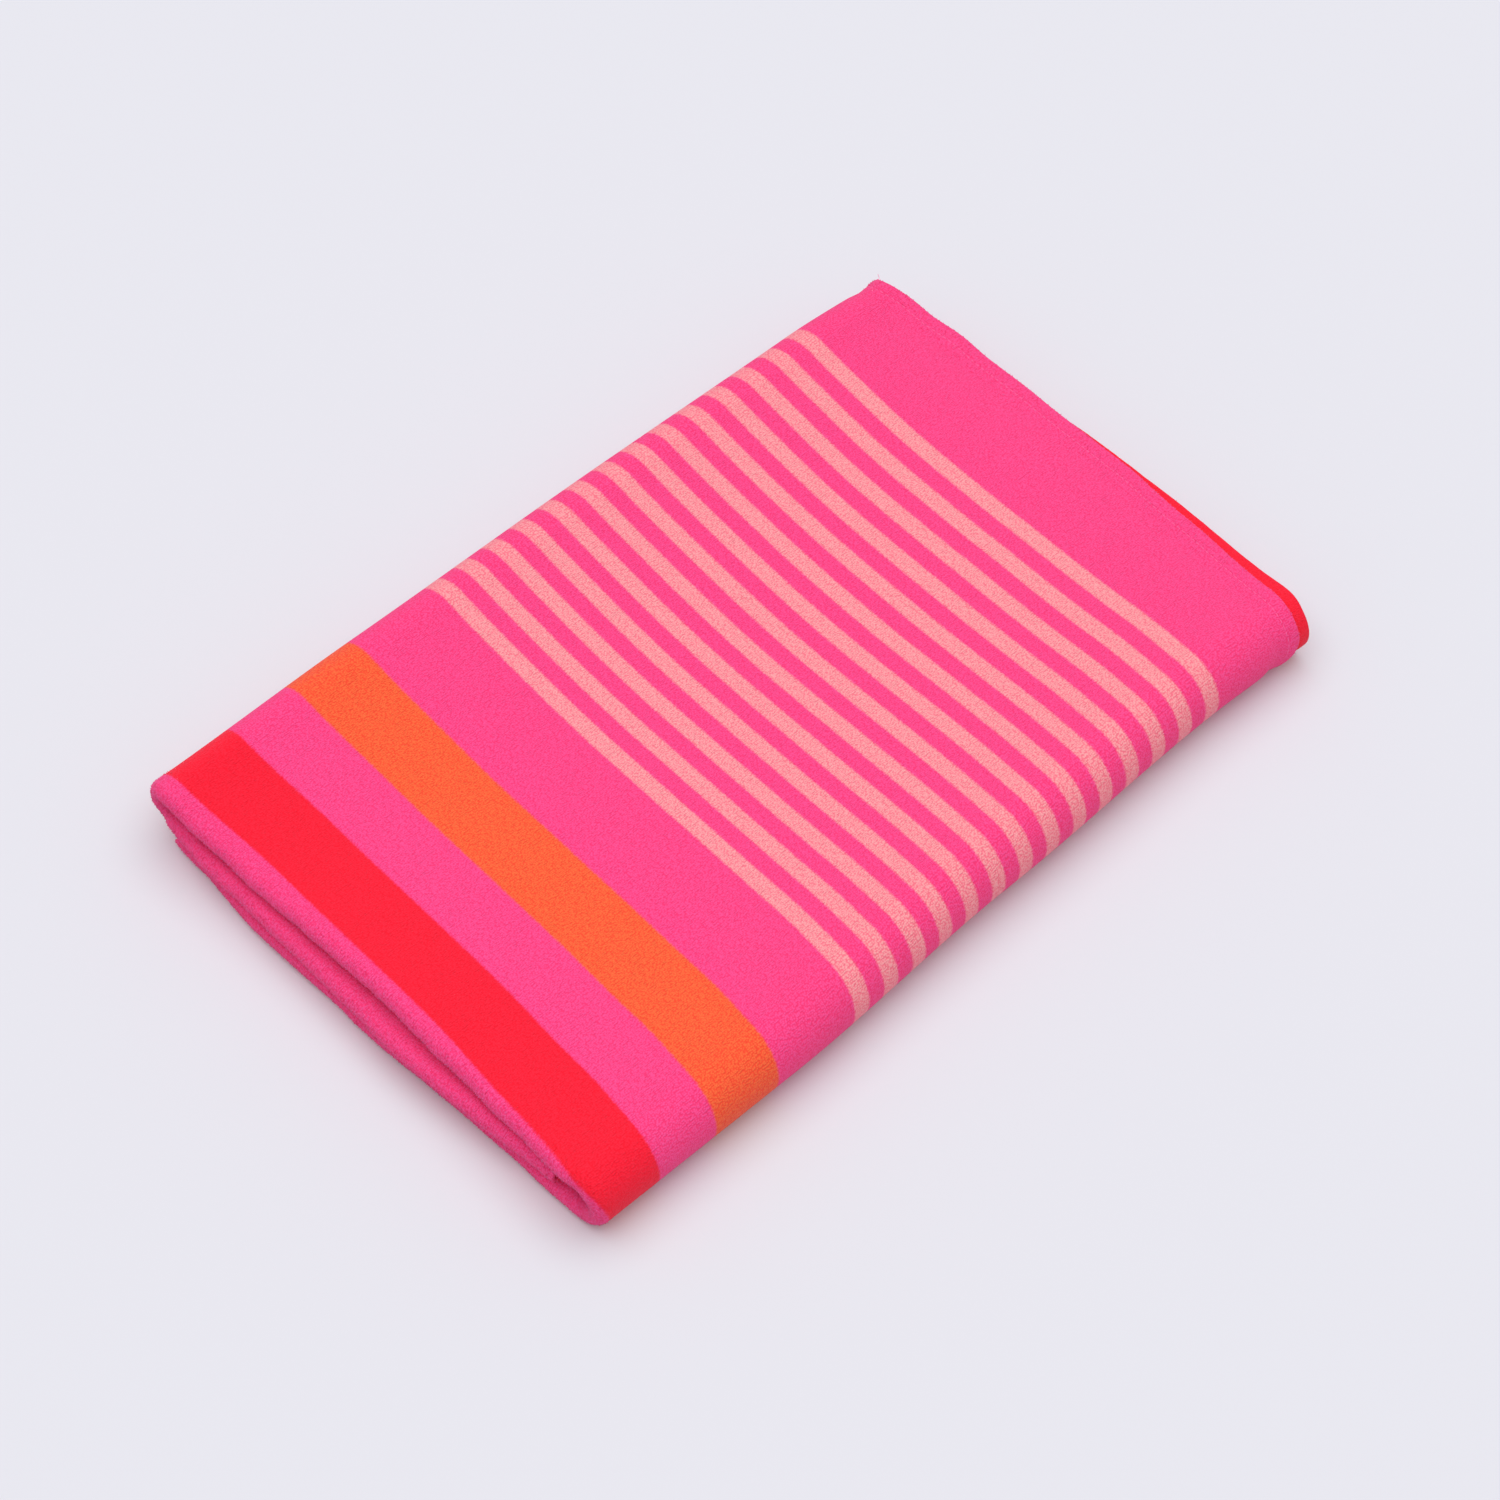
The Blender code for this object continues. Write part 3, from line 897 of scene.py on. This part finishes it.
def pile_tree():
    """Short tufts over a cloth, by its stored amount, leaning at random."""
    tree, source, target = geometry_tree("standing_pile", (
        ("Density", "NodeSocketFloat", 1000000.0),
        ("Length", "NodeSocketFloat", 1.0 * MM),
        ("Width", "NodeSocketFloat", 0.7 * MM),
        ("Lean", "NodeSocketFloat", 0.5),
        ("Seed", "NodeSocketInt", 0),
        ("Material", "NodeSocketMaterial", None),
    ))
    amount = tree.nodes.new("GeometryNodeInputNamedAttribute")
    amount.data_type = "FLOAT"
    amount.inputs["Name"].default_value = "pile_amount"
    density = maths(tree, "MULTIPLY", amount.outputs["Attribute"], source["Density"])
    spread = node_value(tree, "GeometryNodeDistributePointsOnFaces", {"distribute_method": "RANDOM"},
                        {"Mesh": source["Geometry"], "Density": density, "Seed": source["Seed"]})
    tuft = node_value(tree, "GeometryNodeMeshCone", {"fill_type": "NONE"}, {
        "Vertices": 3, "Side Segments": 1, "Radius Top": 0.0,
        "Radius Bottom": 0.5, "Depth": 1.0,
    })
    smooth = node_value(tree, "GeometryNodeSetShadeSmooth", {}, {"Geometry": tuft.outputs["Mesh"]})
    chance = node_value(tree, "FunctionNodeRandomValue", {"data_type": "FLOAT_VECTOR"}, {"Seed": 11})
    chance.inputs[0].default_value = TUFT_TURNS[0]
    chance.inputs[1].default_value = TUFT_TURNS[1]
    split = node_value(tree, "ShaderNodeSeparateXYZ", {}, {"Vector": chance.outputs[0]})
    lean = node_value(tree, "ShaderNodeCombineXYZ", {}, {
        "X": maths(tree, "MULTIPLY", split.outputs["X"], source["Lean"]),
        "Y": maths(tree, "MULTIPLY", split.outputs["Y"], source["Lean"]),
        "Z": split.outputs["Z"],
    })
    turned = node_value(tree, "FunctionNodeRotateRotation", {"rotation_space": "LOCAL"},
                        {"Rotation": spread.outputs["Rotation"], "Rotate By": lean.outputs["Vector"]})
    tall = node_value(tree, "FunctionNodeRandomValue", {"data_type": "FLOAT"}, {"Seed": 23})
    tall.inputs[2].default_value = TUFT_HEIGHTS[0]
    tall.inputs[3].default_value = TUFT_HEIGHTS[1]
    size = node_value(tree, "ShaderNodeCombineXYZ", {}, {
        "X": source["Width"], "Y": source["Width"],
        "Z": maths(tree, "MULTIPLY", tall.outputs[1], source["Length"]),
    })
    copies = node_value(tree, "GeometryNodeInstanceOnPoints", {}, {
        "Points": spread.outputs["Points"], "Instance": smooth.outputs["Geometry"],
        "Rotation": turned.outputs["Rotation"], "Scale": size.outputs["Vector"],
    })
    finish_tree(tree, copies.outputs["Instances"], source["Material"], target)
    return tree


def grown_mesh(name, base, tree, values):
    """The plain mesh that a tree makes from a base object, as a new object."""
    modifier = base.modifiers.new(name, "NODES")
    modifier.node_group = tree
    for item in tree.interface.items_tree:
        if item.in_out == "INPUT" and item.name in values:
            modifier[item.identifier] = values[item.name]
    base.update_tag()
    graph = bpy.context.evaluated_depsgraph_get()
    mesh = bpy.data.meshes.new_from_object(base.evaluated_get(graph))
    mesh.name = name
    base.modifiers.remove(modifier)
    return add_object(name, mesh)


def sewing_thread():
    """Tone-on-tone polyester thread."""
    material = bpy.data.materials.new("pink_thread")
    material.use_nodes = True
    tree = material.node_tree
    shader = tree.nodes["Principled BSDF"]
    where = tree.nodes.new("ShaderNodeTexCoord").outputs["Object"]
    twist = fine_noise(tree, where, 2500.0, 2.0)
    colour = mix_colour(tree, twist, (0.98, 0.10, 0.33, 1.0), (1.0, 0.20, 0.46, 1.0))
    tree.links.new(colour, shader.inputs["Base Color"])
    shader.inputs["Roughness"].default_value = 0.55
    return material


# ---------------------------------------------------------------- operators


class TOWEL_OT_cloth(bpy.types.Operator):
    """Build the folded, printed cloth"""

    bl_idname = "towel.cloth"
    bl_label = "Folded cloth"

    def execute(self, context):
        scene = context.scene
        stripe_print_group()
        terry_pile_group()
        piece = make_cloth(scene.towel_cloth)
        material = printed_terry("printed_terry", scene.towel_print, *CLOTH_LOOK)
        piece.data.materials.append(material)
        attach(piece, BODY)
        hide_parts(NODE)
        return {"FINISHED"}


class TOWEL_OT_stitches(bpy.types.Operator):
    """Sew the hems along their inner line"""

    bl_idname = "towel.stitches"
    bl_label = "Hem stitches"

    def execute(self, context):
        cloth = context.scene.towel_cloth
        outer = folded_surfaces(cloth)[0]
        edge_steps = edge_steps_of(cloth)
        columns = crosswise_points(edge_steps)
        stations = lengthwise_stations(edge_steps)
        lines = []
        for end in ("hem", "second"):
            gaps = [abs((1 - reach) * FLAT_RUN - cloth.hem_depth) if name == end else 1.0
                    for name, reach, _, _ in columns]
            lines.append(outer[gaps.index(min(gaps))])
        rows = len(lines[0])
        path = bpy.data.meshes.new("hem_lines")
        edges = [(line * rows + i, line * rows + i + 1) for line in range(2) for i in range(rows - 1)]
        path.from_pydata([tuple(point) for line in lines for point in line], edges, [])
        guide = add_object("hem_lines", path)
        piece = grown_mesh("hem_stitches", guide, stitch_tree(), {
            "Pitch": cloth.stitch_pitch, "Stitch": 0.75 * cloth.stitch_pitch,
            "Thread": cloth.stitch_thread, "Material": sewing_thread(),
        })
        bpy.data.objects.remove(guide, do_unlink=True)
        before_corner = [row for row, mark in enumerate(stations) if mark[2] <= BACK_CORNER_ACROSS]
        back_corner = before_corner[-1]
        thread = loose_thread(Vector(outer[-1][back_corner]), 0.3 * cloth.stitch_thread)
        for item in (piece, thread):
            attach(item, BODY)
        return {"FINISHED"}


class TOWEL_OT_pile(bpy.types.Operator):
    """Raise the pile on the rims and hems"""

    bl_idname = "towel.pile"
    bl_label = "Standing pile"

    def execute(self, context):
        pile = context.scene.towel_pile
        cloth = bpy.data.objects["folded_cloth"]
        # The tufts' material is a much paler copy of the cloth's: a painted highlight of the fuzz.
        material = printed_terry("standing_terry_painted_highlight", context.scene.towel_print, *TUFT_PAINTED_HIGHLIGHT_LOOK)
        piece = grown_mesh("standing_pile", cloth, pile_tree(), {
            "Density": pile.density, "Length": pile.length, "Width": pile.width,
            "Lean": pile.lean, "Seed": pile.seed, "Material": material,
        })
        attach(piece, BODY)
        return {"FINISHED"}


class TOWEL_OT_sheet(bpy.types.Operator):
    bl_idname = "towel.sheet"
    bl_label = "Folded sheet"

    def execute(self, context):
        return {"FINISHED"}


def add_sun(name, towards, strength, spread):
    """Adds a soft light from one direction."""
    data = bpy.data.lights.new(name, "SUN")
    data.energy = strength
    data.angle = spread
    light = add_object(name, data)
    light.rotation_euler = Vector(towards).to_track_quat("Z", "Y").to_euler()


class TOWEL_OT_stage(bpy.types.Operator):
    """Set the floor, the soft light and the camera"""

    bl_idname = "towel.stage"
    bl_label = "Stage"

    def execute(self, context):
        scene = context.scene
        stage = scene.towel_stage
        self.add_floor(stage)
        self.add_light(scene)
        self.add_camera(scene, stage)
        return {"FINISHED"}

    def add_floor(self, stage):
        half = stage.floor_size / 2
        corners = [(-half, -half, 0), (half, -half, 0), (half, half, 0), (-half, half, 0)]
        floor = add_mesh_object("studio_floor", corners, [(0, 1, 2, 3)])
        material = bpy.data.materials.new("pale_floor")
        material.use_nodes = True
        shader = material.node_tree.nodes["Principled BSDF"]
        shader.inputs["Base Color"].default_value = stage.floor
        shader.inputs["Roughness"].default_value = 0.9
        shader.inputs["Specular IOR Level"].default_value = 0.1
        floor.data.materials.append(material)

    def add_light(self, scene):
        world = bpy.data.worlds.new("soft_studio")
        world.use_nodes = True
        background = world.node_tree.nodes["Background"]
        background.inputs["Color"].default_value = (1.0, 1.0, 1.0, 1.0)
        background.inputs["Strength"].default_value = WORLD_STRENGTH
        scene.world = world
        add_sun("key_soft_light", SUN_TOWARDS, SUN_STRENGTH, SUN_SPREAD)
        scene.view_settings.view_transform = "Standard"

    def add_camera(self, scene, stage):
        azimuth, elevation = stage.azimuth, stage.elevation
        back = Vector((
            math.sin(azimuth) * math.cos(elevation),
            -math.cos(azimuth) * math.cos(elevation),
            math.sin(elevation),
        ))
        target = Vector(CAMERA_TARGET)
        data = bpy.data.cameras.new("studio_camera")
        data.lens = stage.lens
        data.sensor_width = SENSOR_WIDTH
        camera = add_object("studio_camera", data)
        camera.location = target + back * stage.distance
        camera.rotation_euler = back.to_track_quat("Z", "Y").to_euler()
        scene.camera = camera


class TOWEL_PT_panel(bpy.types.Panel):
    """Sidebar panel with the towel's steps"""

    bl_label = "Folded towel"
    bl_idname = "TOWEL_PT_panel"
    bl_space_type = "VIEW_3D"
    bl_region_type = "UI"
    bl_category = "Towel"

    def draw(self, context):
        for operator in OPERATORS:
            self.layout.operator(operator.bl_idname)


OPERATORS = (TOWEL_OT_cloth, TOWEL_OT_stitches, TOWEL_OT_pile, TOWEL_OT_sheet, TOWEL_OT_stage)
SETTINGS = {
    "towel_cloth": TowelCloth,
    "towel_pile": TowelPile,
    "towel_print": TowelPrint,
    "towel_stage": TowelStage,
}


def register():
    """Registers the classes and hangs the settings on the scene."""
    for cls in (*SETTINGS.values(), *OPERATORS, TOWEL_PT_panel):
        bpy.utils.register_class(cls)
    for name, settings in SETTINGS.items():
        setattr(bpy.types.Scene, name, bpy.props.PointerProperty(type=settings))


def unregister():
    """Takes the settings and the classes away."""
    for name in SETTINGS:
        delattr(bpy.types.Scene, name)
    for cls in reversed((*SETTINGS.values(), *OPERATORS, TOWEL_PT_panel)):
        bpy.utils.unregister_class(cls)


def main():
    """Builds the towel and its stage."""
    register()
    bpy.ops.towel.cloth()
    bpy.ops.towel.stitches()
    bpy.ops.towel.pile()
    bpy.ops.towel.sheet()
    bpy.ops.towel.stage()


if __name__ == "__main__":
    main()
